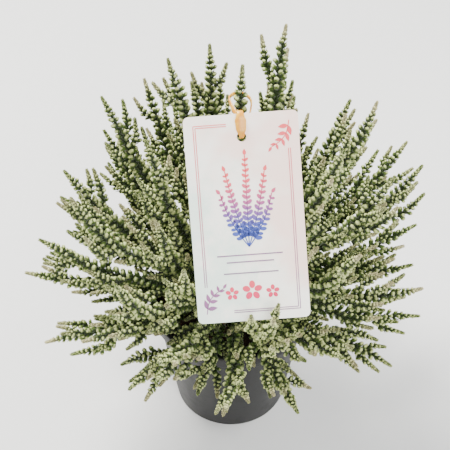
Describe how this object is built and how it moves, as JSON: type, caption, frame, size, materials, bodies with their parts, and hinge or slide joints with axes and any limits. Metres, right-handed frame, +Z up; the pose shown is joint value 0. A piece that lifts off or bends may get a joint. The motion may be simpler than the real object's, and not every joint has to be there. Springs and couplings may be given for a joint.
{
  "type": "potted heather",
  "caption": "Bushy heather with velvety silver-green spikes in a dark tapered nursery pot, with a plain hang label tied to a shoot.",
  "frame": {"origin": "centre of the pot's foot, on the surface that the pot stands on", "axes": "+Z up; -Y towards the side that carries the label, +X to the right of someone who faces it"},
  "size_m": [0.2476, 0.2419, 0.275],
  "materials": {
    "pot_plastic": "dark anthracite, satin, thermoformed",
    "compost": "moist crumbly peat",
    "bark": "rough brown bark",
    "velvet_leaf": "velvety silver-green scale leaves",
    "label_card": "printed, satin",
    "label_band": "translucent amber"
  },
  "bodies": {
    "root": {"pot": "pot_plastic", "compost": "compost", "woody_crown": "bark", "shoot_01": "velvet_leaf", "shoot_02": "velvet_leaf", "shoot_03": "velvet_leaf", "shoot_04": "velvet_leaf", "shoot_05": "velvet_leaf", "shoot_06": "velvet_leaf", "shoot_07": "velvet_leaf", "shoot_08": "velvet_leaf", "shoot_09": "velvet_leaf", "shoot_10": "velvet_leaf", "shoot_11": "velvet_leaf", "shoot_12": "velvet_leaf", "shoot_13": "velvet_leaf", "shoot_14": "velvet_leaf", "shoot_15": "velvet_leaf", "shoot_16": "velvet_leaf", "shoot_17": "velvet_leaf", "shoot_18": "velvet_leaf", "shoot_19": "velvet_leaf", "shoot_20": "velvet_leaf", "shoot_21": "velvet_leaf", "shoot_22": "velvet_leaf", "shoot_23": "velvet_leaf", "shoot_24": "velvet_leaf", "shoot_25": "velvet_leaf", "shoot_26": "velvet_leaf", "shoot_27": "velvet_leaf", "shoot_28": "velvet_leaf", "shoot_29": "velvet_leaf", "shoot_30": "velvet_leaf", "shoot_31": "velvet_leaf", "shoot_32": "velvet_leaf", "shoot_33": "velvet_leaf", "shoot_34": "velvet_leaf", "shoot_35": "velvet_leaf", "shoot_36": "velvet_leaf", "shoot_37": "velvet_leaf", "shoot_38": "velvet_leaf", "shoot_39": "velvet_leaf", "shoot_40": "velvet_leaf", "shoot_41": "velvet_leaf", "shoot_42": "velvet_leaf", "shoot_43": "velvet_leaf", "shoot_44": "velvet_leaf", "shoot_45": "velvet_leaf", "shoot_46": "velvet_leaf", "shoot_47": "velvet_leaf", "shoot_48": "velvet_leaf", "shoot_49": "velvet_leaf", "shoot_50": "velvet_leaf", "label_card": "label_card", "label_band": "label_band"}
  },
  "joints": []
}
